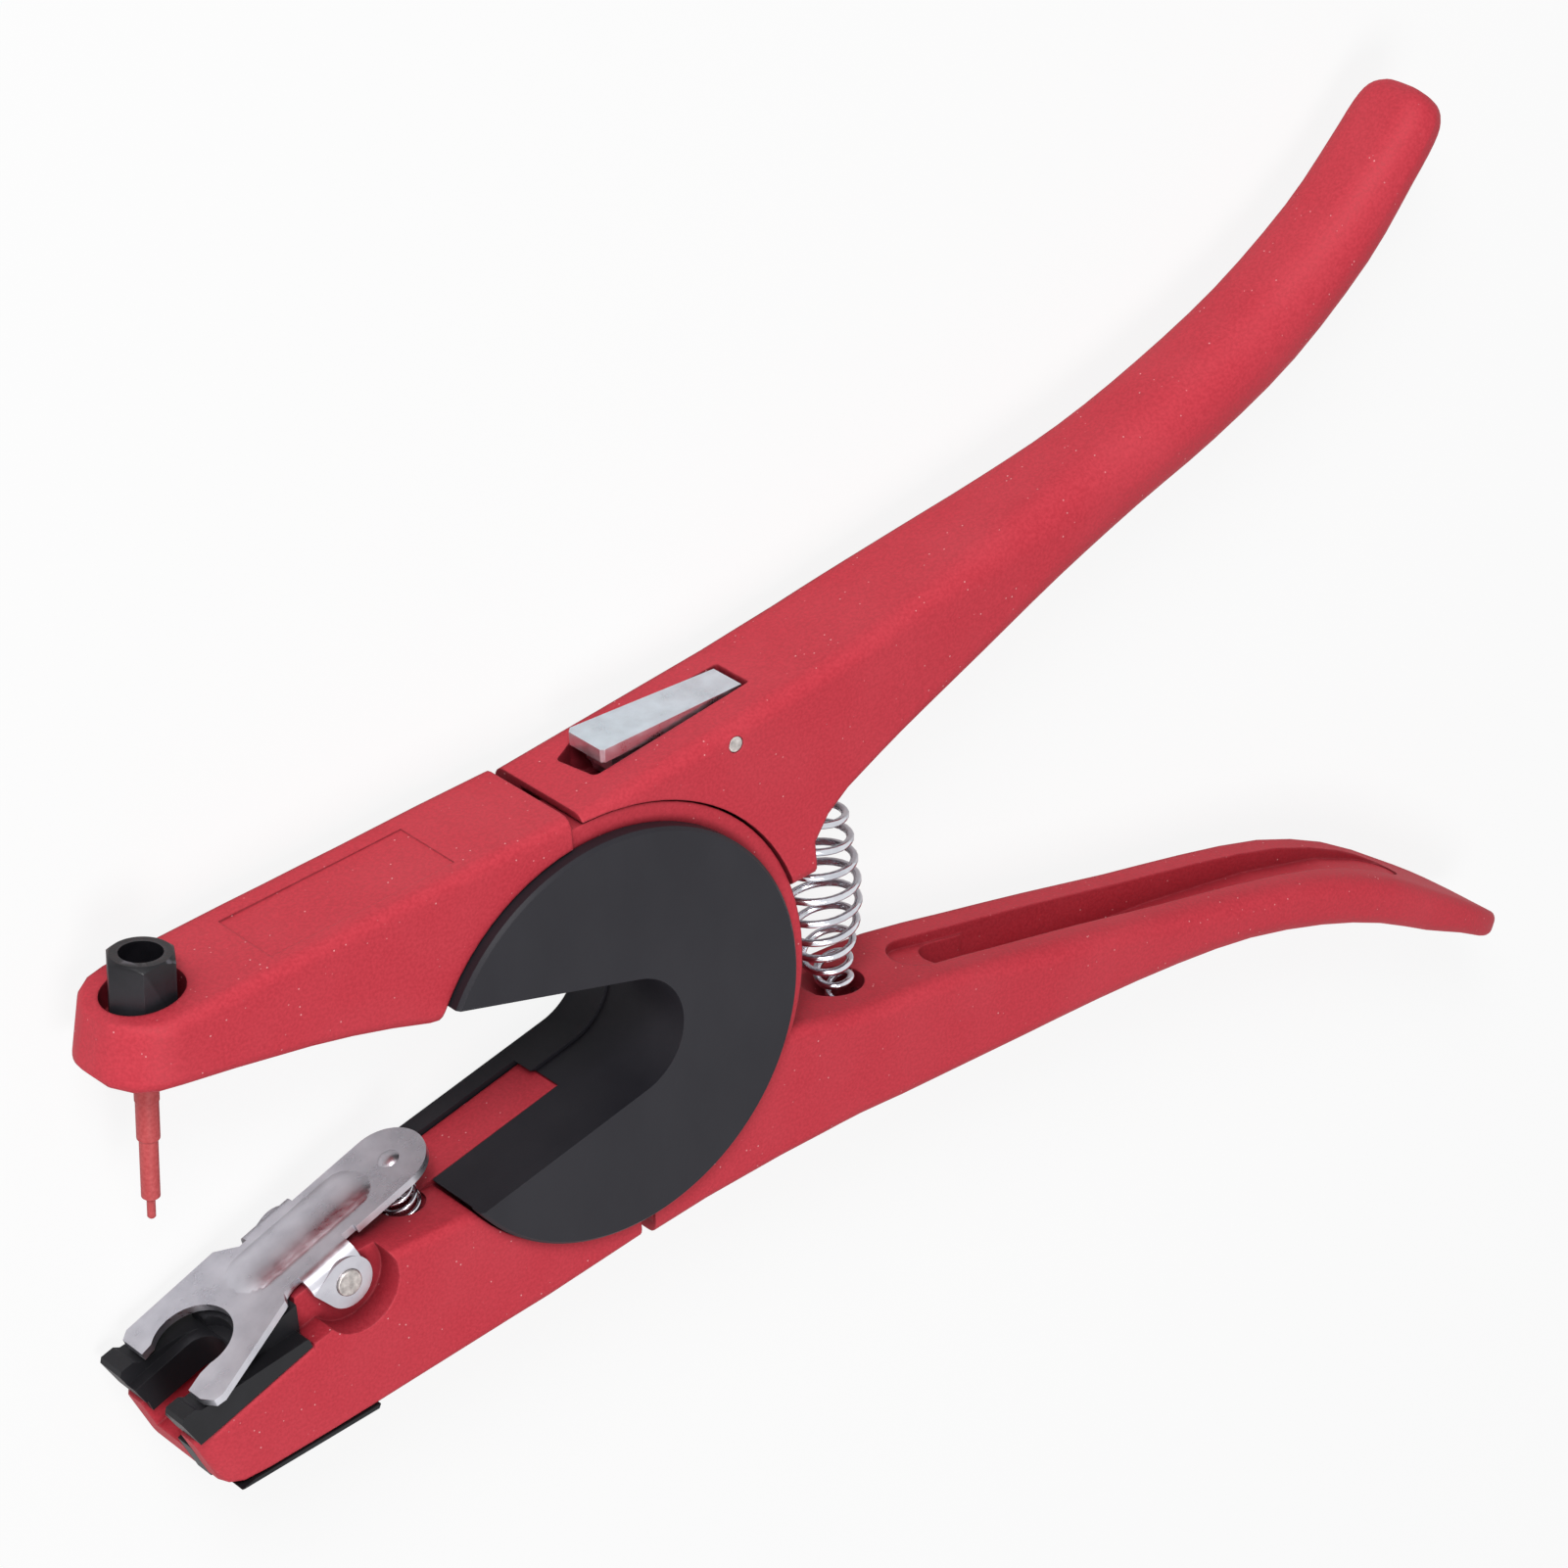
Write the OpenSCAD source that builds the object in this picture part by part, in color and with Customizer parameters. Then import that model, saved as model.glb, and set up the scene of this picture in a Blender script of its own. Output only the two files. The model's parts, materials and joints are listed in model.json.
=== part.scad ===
// Ear tag applicator lying on its back cover: jaws towards -X, handles towards +X.
// The Z axis is the hub axis that all three levers turn about; Z = 0 is the back cover's outer face.
// Inside the modules Z = 0 is the middle of the tool's thickness, and upright() lifts it to its place.

/* [Hub] */
// Radius of the two round hub covers
hub_r = 31; // [30:0.5:31.4]
// Overall thickness over both covers
hub_t = 24; // [23:0.5:26]
// Thickness of the front cover's plate
front_plate_t = 2.4; // [2:0.1:2.6]
// Thickness of the back cover's plate
back_plate_t = 3.2; // [2.8:0.1:3.4]
// Radius of the round end of the throat
throat_r = 9.2; // [7.6:0.2:9.4]
// Half of the angle that the throat opens by
throat_angle = 14.2; // [12:0.2:15]
// Centre of the round end of the throat, towards the handles
throat_x = 1.3; // [0.5:0.1:1.5]
// Centre of the round end of the throat, towards the lower jaw
throat_drop = 1; // [0.4:0.1:1.2]
// Radius of the bearing boss that the lever rings turn on
boss_r = 12.1; // [12:0.1:13]
// How far the lever rings show outside the covers
ring_rim = 2.8; // [2.4:0.1:3]
// Thickness of the lower jaw's ring, in the middle layer
middle_ring_t = 4.1; // [3.6:0.1:4.4]
// Thickness of the upper handle's ring, in the back layer
back_ring_t = 4.2; // [3.6:0.1:4.4]
// Running clearance between rings and covers
ring_gap = 0.2; // [0.15:0.05:0.3]
// Radial running clearance round the rings and the boss
radial_gap = 0.3; // [0.25:0.05:0.4]
// Thickness of the lining along the lower wall of the throat
lining_t = 2; // [1.6:0.1:2.4]
// Thickness of the lining along the upper wall, which takes the cover screws
screw_lining_t = 5.6; // [5:0.1:5.8]
// Diameter of the cover screws' shank
cover_screw_d = 2.5; // [2:0.1:2.8]

/* [Levers] */
// Thickness of the cast jaws and handles
lever_t = 20; // [19:0.5:21]

/* [Applicator pin] */
// Distance from the hub axis to the line of the pin
pin_reach = 69.6; // [68:0.2:70.4]
// Lean of the pin, which makes it meet the closed clip squarely
pin_lean = 4.4; // [3:0.2:6]
// Diameter of the pin's collar under the jaw
collar_d = 3.4; // [3.3:0.1:3.8]
// Length of the collar
collar_len = 5.7; // [5:0.1:7]
// Diameter of the pin's upper shank
shank_d = 3.2; // [3:0.1:3.3]
// Length of the upper shank
shank_len = 6; // [5:0.5:7]
// Diameter of the pin's working length, which carries the tag stud
stud_d = 2.6; // [2.2:0.1:2.8]
// Length of the working length
stud_len = 9; // [8:0.5:10]
// Diameter of the piercing tip
tip_d = 1.2; // [1:0.1:1.6]
// Length of the piercing tip
tip_len = 3; // [2:0.5:3.5]
// Diameter of the pin's thread in the nut
thread_d = 3; // [2.6:0.1:3.1]
// Width across the flats of the nut that holds the pin
nut_af = 8.8; // [8.4:0.1:9]
// Height of the nut above the jaw
nut_rise = 5.4; // [4:0.2:6]
// Bore of the nut
nut_bore = 6; // [5.6:0.1:6.4]
// Diameter of the counterbore that the nut sits in
nut_well_d = 11.6; // [11:0.2:12.6]
// Depth of that counterbore
nut_well_depth = 5; // [4:0.2:5.6]

/* [Latch] */
// Distance of the latch pin from the hub axis along the tool
latch_x = 23.8; // [23:0.2:24.6]
// Height of the latch pin above the hub axis
latch_y = 36; // [35.8:0.1:36.2]
// Diameter of the latch pin
latch_pin_d = 2.4; // [2:0.1:2.6]
// Width of the latch plate at its free end
latch_w = 8.2; // [7.6:0.2:8.4]
// Thickness of the latch plate
latch_t = 2; // [1.8:0.1:2.2]

/* [Tag clip] */
// Place of the clip pin along the tool
clip_x = -45; // [-45.6:0.1:-44.4]
// Height of the clip pin
clip_y = -21.7; // [-22:0.1:-21.5]
// Sheet thickness of the clip
clip_t = 1.2; // [1:0.1:1.3]
// Lean of the clip's sheet, square to the pin when the jaws close
clip_lean = 20; // [19:0.2:21]
// Radius of the clip's fork
fork_r = 6; // [5.6:0.1:6.2]
// Diameter of the clip's hinge pin
clip_pin_d = 4; // [3.4:0.1:4.2]
// Outside width over the clip's ears
ear_span = 17; // [16.6:0.1:17.2]

/* [Springs] */
// Wire of the main spring
main_wire = 1.15; // [1:0.05:1.2]
// Largest coil radius of the main spring, at its middle
main_coil_r = 6.6; // [6:0.2:7]
// Coil radius at the ends of the main spring
main_end_r = 1.8; // [1.6:0.1:2]
// Turns of the main spring
main_turns = 12; // [9:1:13]
// Wire of the return spring
return_wire = 0.8; // [0.7:0.05:0.9]
// Turns of the return spring
return_turns = 9; // [7:1:10]
// Wire of the small clip and latch springs
small_wire = 0.6; // [0.5:0.05:0.7]

/* [Hidden] */

red = [0.74, 0.25, 0.29];
satin_black = [0.21, 0.21, 0.23];
steel = [0.64, 0.63, 0.66];
bright_steel = [0.80, 0.81, 0.84];

w = lever_t / 2;              // half thickness of the castings
far = 60;                     // longer than any cut that it limits
edge_steps = 4;               // facets round each edge of a casting
bore_gap = 0.05;              // radial clearance of a turning pin in its bore
press_gap = 0.02;             // radial clearance of a pin or screw that is fixed in its hole

ring_r = hub_r + ring_rim;
drawn_ring_r = 33.8;          // the ring that the castings' sections below were drawn round
out = ring_r - drawn_ring_r;  // how far the castings move out, up or down, with a larger ring

front_z = hub_t / 2;
front_ring_top = front_z - front_plate_t - ring_gap;
back_ring_bottom = -front_z + back_plate_t + ring_gap;
back_ring_top = back_ring_bottom + back_ring_t;
middle_ring_bottom = back_ring_top + ring_gap;
middle_ring_top = middle_ring_bottom + middle_ring_t;
front_ring_bottom = middle_ring_top + ring_gap;
parting_z = -5;               // where the two covers' bosses meet
ring_bore_r = boss_r + radial_gap;
cover_clear_r = hub_r + radial_gap;
ring_clear_r = ring_r + 0.4;

// Castings: each section is [top x, top y, bottom x, bottom y, half width, edge radius]
upper_jaw_nose = [
  [-75.2, 30.1, -77.3, 22.8, w - 8, 1.2],
  [-74.2, 30.4, -76.3, 21.7, w - 4.9, 1.5],
  [-72.4, 30.6, -74.3, 21.1, w - 2.3, 1.7],
  [-70.2, 30.8, -71.5, 20.9, w - 0.6, 1.9]];
upper_jaw_beam = [
  [-67.4, 31.1, -68, 20.7, w, 2],
  [-60, 31.75, -60, 19.7, w, 2],
  [-48, 32.65, -48, 17.9, w, 2],
  [-41.6, 33.05, -41.6, 16.65, w, 2],
  [-35.4, 33.5, -35.4, 15.15, w, 2],
  [-29.2, 33.9, -29.2, 13.35, w, 2],
  [-16, 34.9, -20, 12, w, 2],
  [-4.6, 35.6, -4.6, 12, w, 2]];
lower_handle_root = [
  [4.8, -24, 4.8, -35.6, w, 1.8],
  [14, -20, 14.4, -34.4, w, 1.8],
  [25, -14.5, 28, -33.5, w, 2]];
lower_handle_beam = [
  [31.5, -12.9, 36, -33.3, w, 2.2],
  [40, -14.8, 43, -33.2, w, 2.5],
  [48.4, -16, 50.8, -33.4, w, 2.5],
  [59, -16.5, 59, -33.4, w, 2.5],
  [74, -19.1, 74, -33.6, w, 2.8],
  [89, -21.8, 89, -33.8, w, 3.2],
  [105, -25, 105, -34.6, w, 3.5],
  [121, -28, 120.6, -36.4, w, 3.5],
  [137, -31.9, 135.6, -40.2, w, 3.3],
  [150.6, -37.8, 147.8, -44.9, w - 0.2, 2.8],
  [161, -44.6, 158.2, -50.6, w - 0.8, 2.4],
  [168.6, -50, 166.2, -54.6, w - 1.6, 2],
  [173.6, -53.9, 171.6, -57.9, w - 3, 1.6],
  [176.8, -56.5, 175.2, -60, w - 5.2, 1.3],
  [178.5, -58.1, 177.3, -60.6, w - 7.6, 1]];
handle_root = [
  [-2.6, 35.2, -2.6, 24, w, 2],
  [14, 37.6, 14, 22, w, 2.2],
  [27, 39.5, 29, 9, w, 2.4],
  [33, 40.4, 37, 9.6, w, 2.5],
  [36, 40.9, 36.6, 13.6, w, 2.5],
  [40.5, 41.7, 39.3, 17.4, w, 2.6]];
handle_beam = [
  [46, 42.7, 43.4, 20.4, w, 2.8],
  [54.7, 44.6, 53.6, 25.2, w - 0.1, 3.2],
  [68.7, 47.9, 69.6, 31.2, w - 0.5, 4.4],
  [82.8, 51.1, 85.2, 37.1, w - 1, 5.3],
  [97.2, 54.9, 101.1, 42.4, w - 1.5, 6],
  [112, 60, 116.7, 47.6, w - 1.8, 6],
  [127.1, 66.6, 132.8, 54.9, w - 2, 6],
  [141, 75, 147.8, 65.7, w - 2.2, 5.6],
  [150.2, 82.5, 156.5, 75.4, w - 2.4, 4.8],
  [154.8, 86.9, 161, 80.5, w - 2.6, 4.6],
  [157.3, 88.9, 162.9, 83.1, w - 3.4, 4],
  [159.3, 89.3, 163.4, 85.1, w - 5.2, 2.9],
  [160.4, 88.9, 162.6, 86.7, w - 7.6, 1.3]];
lower_jaw_beam = [
  [-72.6, -34.3, -68.9, -42.5, w - 2, 1],
  [-71.8, -33.7, -67.9, -43, w - 1, 1],
  [-69.8, -32.9, -65.9, -43.25, w - 0.3, 1],
  [-66, -31.53, -62, -42.9, w, 1],
  [-53.2, -26.87, -52, -41.9, w, 1],
  [-53, -21.3, -51.8, -41.88, w, 1],
  [-44.2, -18.7, -44, -41.1, w, 1.2],
  [-39.5, -18.4, -39.5, -40.65, w, 1.4],
  [-24, -18.2, -20, -38.3, w, 1.6],
  [-20, -15, -14, -37.6, w, 1.6],
  [2.3, -15, 2.3, -35.1, w, 1.6]];

function unit(v) = v / norm(v);

// One section of a casting: a rounded rectangle standing in the plane of its two middle points
function section(s) =
  let (top = [s[0], s[1]], bottom = [s[2], s[3]], up = unit(top - bottom),
       half = norm(top - bottom) / 2, mid = (top + bottom) / 2,
       r = min(s[5], half - 0.05, s[4] - 0.05))
  [for (q = [0:3]) for (i = [0:edge_steps])
    let (a = 90 * q + 90 * i / edge_steps,
         v = (q == 0 || q == 3 ? 1 : -1) * (half - r) + r * cos(a),
         z = (q < 2 ? 1 : -1) * (s[4] - r) + r * sin(a))
    [mid[0] + up[0] * v, mid[1] + up[1] * v, z]];

// A smooth curve through the sections, n steps from each one to the next
function blend_at(p0, p1, p2, p3, t) =
  0.5 * (2 * p1 + (p2 - p0) * t + (2 * p0 - 5 * p1 + 4 * p2 - p3) * t * t
         + (3 * p1 - p0 - 3 * p2 + p3) * t * t * t);
function smooth(s, n) = concat(
  [for (i = [0:len(s) - 2]) for (k = [0:n - 1])
    blend_at(s[max(i - 1, 0)], s[i], s[i + 1], s[min(i + 2, len(s) - 1)], k / n)],
  [s[len(s) - 1]]);

// Closed skin over a row of rings of points
module skin(rings) {
  n = len(rings[0]);
  m = len(rings);
  polyhedron(
    points = [for (ring = rings) for (p = ring) p],
    faces = concat(
      [[for (i = [0:n - 1]) i]],
      [[for (i = [n - 1:-1:0]) (m - 1) * n + i]],
      [for (k = [0:m - 2]) for (i = [0:n - 1]) let (j = (i + 1) % n)
        each [[k * n + i, (k + 1) * n + j, k * n + j], [k * n + i, (k + 1) * n + i, (k + 1) * n + j]]]));
}
module casting(sections) skin([for (s = sections) section(s)]);
// Everything above the hub, and everything below it
module up_side() translate([0, out, 0]) children();
module low_side() translate([0, -out, 0]) children();

// Ring of points round a wire at point p, square to direction d
function wire_ring(p, d, r, sides) =
  let (t = unit(d), a = unit(cross(t, abs(t[2]) < 0.9 ? [0, 0, 1] : [1, 0, 0])), b = cross(t, a))
  [for (i = [0:sides - 1]) p + r * (a * cos(360 * i / sides) + b * sin(360 * i / sides))];
// Wire swept along a list of points
module wire(pts, r, sides) {
  last = len(pts) - 1;
  skin([for (i = [0:last]) wire_ring(pts[i], pts[min(i + 1, last)] - pts[max(i - 1, 0)], r, sides)]);
}

module upright() translate([0, 0, front_z]) children();
module slab(z0, z1) translate([0, 0, z0]) linear_extrude(z1 - z0) children();
module disc(r, z0, z1) translate([0, 0, z0]) cylinder(r = r, h = z1 - z0, $fn = 128);

// Throat walls: outward normals, and the wedge between the walls set back by two gaps
function wall_up(g) = [throat_x, -throat_drop] + (throat_r + g) * [sin(throat_angle), cos(throat_angle)];
function wall_down(g) = [throat_x, -throat_drop] + (throat_r + g) * [sin(throat_angle), -cos(throat_angle)];
module wedge(up_gap, down_gap) polygon([
  wall_up(up_gap), wall_up(up_gap) + far * [-cos(throat_angle), sin(throat_angle)],
  wall_down(down_gap) + far * [-cos(throat_angle), -sin(throat_angle)], wall_down(down_gap)]);
tangent_gap = 0.002;          // so that the walls cross the round end instead of just touching it
back_step = 0.5;              // how far the back cover's throat stands inside the front cover's
module throat(inset) {
  translate([throat_x, -throat_drop]) circle(throat_r - inset, $fn = 96);
  wedge(-inset - tangent_gap, -inset - tangent_gap);
}

// Flat sector of a ring from angle a0 to a1
module sector(r_in, r_out, a0, a1) intersection() {
  difference() {
    circle(r_out, $fn = 160);
    circle(r_in, $fn = 96);
  }
  polygon(concat([[0, 0]], [for (i = [0:12]) let (a = a0 + (a1 - a0) * i / 12) far * [cos(a), sin(a)]]));
}

ring_edge_gap = screw_lining_t + 0.6;   // where the rings stop short of the upper throat wall
hidden_ring_r = hub_r - 0.2;            // rings behind the upper jaw stay inside the covers
visible_from = 92;                      // angle past which the rings are behind the upper jaw

module turning_ring(start, down_gap) {
  difference() {
    union() {
      sector(ring_bore_r, ring_r, start, visible_from);
      sector(ring_bore_r, hidden_ring_r, visible_from - 1, 150);
    }
    wedge(ring_edge_gap, down_gap);
  }
}

// Jaw and handle with the front ring between them, all one casting
front_ring_start = -58;
module fixed_lever() color(red) upright() difference() {
  union() {
    difference() {
      up_side() casting(concat(upper_jaw_nose, upper_jaw_beam));
      disc(cover_clear_r, -far, far);
    }
    difference() {
      low_side() casting(concat(lower_handle_root, smooth(lower_handle_beam, 2)));
      disc(cover_clear_r, -far, far);
      disc(ring_clear_r, -far, front_ring_bottom);
    }
    slab(front_ring_bottom, front_ring_top) difference() {
      union() {
        sector(ring_bore_r, ring_r, front_ring_start, 150);
        sector(hub_r - 1, ring_r + 0.2, -82, front_ring_start + 1);
      }
      wedge(ring_edge_gap, 0);
    }
  }
  pin_bore();
  up_side() label_recess();
  low_side() grip_groove();
  spring_seat(main_foot, foot_seat_len);
}

// The line of the applicator pin: Z' runs up along the pin, from the foot of the hub axis
module pin_frame() up_side() rotate([0, 0, -pin_lean]) translate([-pin_reach, 0, 0]) rotate([-90, 0, 0])
  children();
pin_seat = 15.1;                    // where the collar meets the jaw's underside
jaw_top_at_pin = 26;                // the jaw's top face on the pin's line
nut_floor = jaw_top_at_pin + 0.4 - nut_well_depth;
module pin_bore() pin_frame() {
  translate([0, 0, pin_seat - 3]) cylinder(r = thread_d / 2 + bore_gap, h = 20, $fn = 48);
  translate([0, 0, nut_floor]) cylinder(r = nut_well_d / 2, h = 20, $fn = 96);
}

// Bare shallow panel on top of the upper jaw
panel_len = 30;
panel_w = 12.2;
panel_depth = 0.4;
jaw_slope = atan2(4.5, 62);
module label_recess() translate([-36.6, 33.6, 0.5]) rotate([0, 0, jaw_slope])
  translate([-panel_len / 2, -panel_depth, -panel_w / 2]) cube([panel_len, 5, panel_w]);

// Long hand groove in the top of the lower handle, with a shallow step at its near end
groove_hw = 4.4;
groove_z = 0.6;
module stadium(x0, x1, hw) {
  translate([x0 + hw, 0]) circle(hw, $fn = 64);
  translate([x1 - hw, 0]) circle(hw, $fn = 64);
  translate([x0 + hw, -hw]) square([x1 - x0 - 2 * hw, 2 * hw]);
}
module grip_groove() {
  intersection() {
    translate([0, 0, groove_z]) rotate([90, 0, 0]) translate([0, 0, 10]) linear_extrude(40)
      union() {
        stadium(63, 156, groove_hw - 0.4);
        stadium(70, 157, groove_hw);
      }
    slab(-w, w) polygon([[60, -26], [90, -29], [110, -30.6], [130, -33.4], [145, -37], [158, -42.5],
                         [158, -10], [60, -10]]);
  }
  intersection() {
    translate([0, 0, groove_z]) rotate([90, 0, 0]) translate([0, 0, 10]) linear_extrude(40)
      stadium(57, 90, groove_hw);
    slab(-w, w) polygon([[56, -17.4], [66, -19.4], [92, -24], [92, -10], [56, -10]]);
  }
}

// Seats of the main spring: its lower end in the fixed lever, its upper end in the handle
main_foot = [ring_r + 14.6, -19.6 - out];
main_bow = [ring_r + 6.4, 0.6];
main_head = [ring_r + 10.9, 24.4 + out];
foot_seat_len = 7.6;
head_seat_len = 9;
seat_r = main_end_r + main_wire / 2 + 0.4;
seat_flare = 0.33;            // how much wider the seats get for each mm towards the spring's middle
// Flaring hole along the spring's own line, which starts 0.2 mm past its end
module spring_seat(end, len) translate([end[0], end[1], 0])
  rotate([0, 0, atan2(main_bow[1] - end[1], main_bow[0] - end[0])]) rotate([0, 90, 0])
    translate([0, 0, -0.7]) cylinder(r1 = seat_r, r2 = seat_r + seat_flare * len, h = len, $fn = 48);

module upper_handle() color(red) upright() difference() {
  union() {
    difference() {
      up_side() casting(concat(handle_root, smooth(handle_beam, 3)));
      disc(ring_clear_r, back_ring_top + 0.1, far);
      disc(cover_clear_r, -far, far);
    }
    slab(back_ring_bottom, back_ring_top) turning_ring(-55, 0);
  }
  latch_pocket();
  latch_frame() translate([0, 0, -lever_t])
    cylinder(r = latch_pin_d / 2 + press_gap, h = 2 * lever_t, $fn = 48);
  spring_seat(main_head, head_seat_len);
}

// Latch pocket, laid out from the latch pin: wide at the free end, narrow past the pin
latch_z = -0.9;               // middle of the latch plate's free end
latch_run = 17.7;             // from the latch pin to the free end
pocket_floor = -4.5;
module latch_frame() up_side() translate([latch_x, latch_y, 0]) children();
// Outlines seen from above, with Y towards the back of the tool
module pocket_outline() hull() {
  translate([-latch_run - 0.9, 0.5 - latch_w / 2]) circle(1, $fn = 32);
  translate([-latch_run - 1.8, latch_w / 2 - 1.8]) circle(0.9, $fn = 32);
  translate([-latch_run + 1.1, latch_w / 2 - 0.4]) circle(0.9, $fn = 32);
  translate([7.4, -3.7]) circle(0.5, $fn = 32);
  translate([7.4, 2.5]) circle(0.5, $fn = 32);
}
module latch_pocket() latch_frame() translate([0, pocket_floor, latch_z]) rotate([-90, 0, 0])
  linear_extrude(14) pocket_outline();

module lower_jaw() color(red) upright() difference() {
  union() {
    difference() {
      low_side() casting(lower_jaw_beam);
      disc(cover_clear_r, -far, far);
    }
    slab(middle_ring_bottom, middle_ring_top) turning_ring(-155, ring_gap);
    slab(back_ring_bottom + 0.1, middle_ring_top) difference() {
      sector(ring_bore_r, ring_r, -155, -88);
      wedge(0, ring_gap);
    }
    return_lug();
  }
  pawl_notch();
  clip_recess();
  clip_pin_bore();
  tag_channel();
  tongue_groove();
  clip_spring_seat();
  insert_screw_hole();
}

// Notch in the ring's rim that the latch's pawl drops into
pawl = [-12.3, -3.7];         // the pawl's lower edge, from the latch pin
notch_angle = atan2(latch_y + out + pawl[1], latch_x + pawl[0]);
module pawl_notch() slab(middle_ring_bottom - 0.05, front_ring_bottom)
  sector(ring_r - 2.4, ring_r + 2, notch_angle - 5.4, notch_angle + 6.6);

// Lug on the ring that the return spring pushes against
lug_angle = -64;
spring_arc_r = hub_r - 9;
module return_lug() slab(middle_ring_top - 1, 7.5)
  sector(spring_arc_r - 4, spring_arc_r + 4, lug_angle - 4, lug_angle + 4);

module clip_at() low_side() translate([clip_x, clip_y, 0]) children();
clip_z = -1.3;                // middle of the clip's ears, rib and tail
ear_room = 0.3;
boss_half = ear_span / 2 - clip_t - ear_room;
// Room for the clip's ears on both sides of the middle boss
module clip_recess() for (side = [-1, 1]) clip_at()
  slab(side > 0 ? clip_z + boss_half : -far, side > 0 ? far : clip_z - boss_half) {
    circle(6.4, $fn = 64);
    polygon([[-8.4, -4.9], [-5, -4], [5.6, 3.2], [5.6, 12], [-8.4, 12]]);
  }
module clip_pin_bore() clip_at() translate([0, 0, -lever_t])
  cylinder(r = clip_pin_d / 2 + press_gap, h = 2 * lever_t, $fn = 64);

// Channel between the prongs of the insert that the tag lies in
channel_hw = 4.8;
channel_drop = 5.5;
channel_end = -11.7;          // centre of the channel's round end, on the pin's line when closed
channel_z = 0.4;
seat_x = -53;
seat_y = -26.8;
seat_gap = 0.05;
module seat_frame() low_side() translate([seat_x, seat_y, 0]) rotate([0, 0, clip_lean]) children();
// Outline of the channel seen square to the seat, open at the nose
module channel_outline(r) {
  circle(r, $fn = 64);
  translate([-20, -r]) square([20, 2 * r]);
}
// Straight cut or wall with the channel's outline, from height y0 to y1 above the seat
module along_channel(y0, y1) seat_frame() translate([channel_end, y0, channel_z]) rotate([-90, 0, 0])
  linear_extrude(y1 - y0) children();
module tag_channel() along_channel(-channel_drop, 20) channel_outline(channel_hw);
// The sole's tongue runs up over the nose to the channel's near side, in a groove of the casting
tongue_z = 3.4;
tongue_w = 3.2;
tongue_t = 1.4;
tongue_rise = 5.6;
nose_top = [-72.6, -34.3];
nose_foot = [-68.9, -42.5];
heel_y = -42.7;               // the tongue's inner face where it turns under the nose
heel_x = -64;
// Strip along the nose's front face, from the given depth inside it to the given height outside
module nose_strip(depth, over) {
  up = unit(nose_top - nose_foot);
  inward = [up[1], -up[0]];
  polygon([nose_foot - up + depth * inward, nose_foot + tongue_rise * up + depth * inward,
           nose_foot + tongue_rise * up - over * inward, nose_foot - up - over * inward]);
}
module tongue_groove() low_side()
  slab(tongue_z - tongue_w / 2 - seat_gap, tongue_z + tongue_w / 2 + seat_gap) {
    nose_strip(tongue_t + seat_gap, 2);
    translate([-far - 20, heel_y - 8]) square([far + 20 + heel_x + seat_gap, 8 + seat_gap]);
  }
module tongue() low_side() slab(tongue_z - tongue_w / 2, tongue_z + tongue_w / 2) {
  nose_strip(tongue_t, 0);
  polygon([[nose_foot[0] + 0.3, heel_y], [nose_foot[0] + 0.6, heel_y - 0.6], [nose_foot[0] + 2.1, heel_y - 1.1],
           [heel_x, heel_y - 1.1], [heel_x, heel_y]]);
}

clip_spring_r = 2.6;
clip_spring_x = 14.2;
clip_spring_foot = -3.4;
module clip_frame() clip_at() rotate([0, 0, clip_lean]) children();
clip_spring_z = 0.6;
module clip_spring_seat() clip_frame() translate([clip_spring_x, clip_spring_foot - 0.3, clip_spring_z])
  rotate([-90, 0, 0]) cylinder(r = clip_spring_r + small_wire / 2 + 0.4, h = 20, $fn = 48);

// Hub covers: a plate each, a split bearing boss, and linings that close the throat's walls
no_lining = -1;
module lining(up, down) intersection() {
  difference() {
    wedge(up, down);
    wedge(no_lining, no_lining);
    circle(boss_r - 0.5, $fn = 96);
  }
  circle(hidden_ring_r, $fn = 128);
  translate([-far, -far]) square([far, 2 * far]);
}
cover_edge = 0.5;
module front_cover() color(satin_black) upright() difference() {
  union() {
    translate([0, 0, front_z - front_plate_t]) rotate_extrude($fn = 160)
      polygon([[0, 0], [hub_r, 0], [hub_r, front_plate_t - cover_edge], [hub_r - cover_edge, front_plate_t],
               [0, front_plate_t]]);
    disc(boss_r, parting_z, front_z - front_plate_t + 0.1);
    slab(parting_z, front_z - front_plate_t + 0.1) lining(screw_lining_t, no_lining);
    slab(middle_ring_top + 0.3, front_z - front_plate_t + 0.1) lining(no_lining, lining_t);
  }
  slab(-far, far) throat(0);
  for (x = cover_screw_x) cover_screw_at(x) translate([0, 0, back_plate_t]) cylinder(
    r = cover_screw_d / 2, h = 12.4, $fn = 32);
}
module back_cover() color(satin_black) upright() difference() {
  union() {
    translate([0, 0, -front_z]) rotate_extrude($fn = 160)
      polygon([[0, 0], [hub_r - cover_edge, 0], [hub_r, cover_edge], [hub_r, back_plate_t],
               [0, back_plate_t]]);
    disc(boss_r, -front_z + back_plate_t - 0.1, parting_z);
    slab(-front_z + back_plate_t - 0.1, parting_z) lining(screw_lining_t, no_lining);
  }
  slab(-far, far) throat(back_step);
  for (x = cover_screw_x) cover_screw_at(x) {
    cylinder(r = cover_screw_d / 2 + 0.1, h = 12, $fn = 32);
    screw_head(0.1);
  }
}

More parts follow.
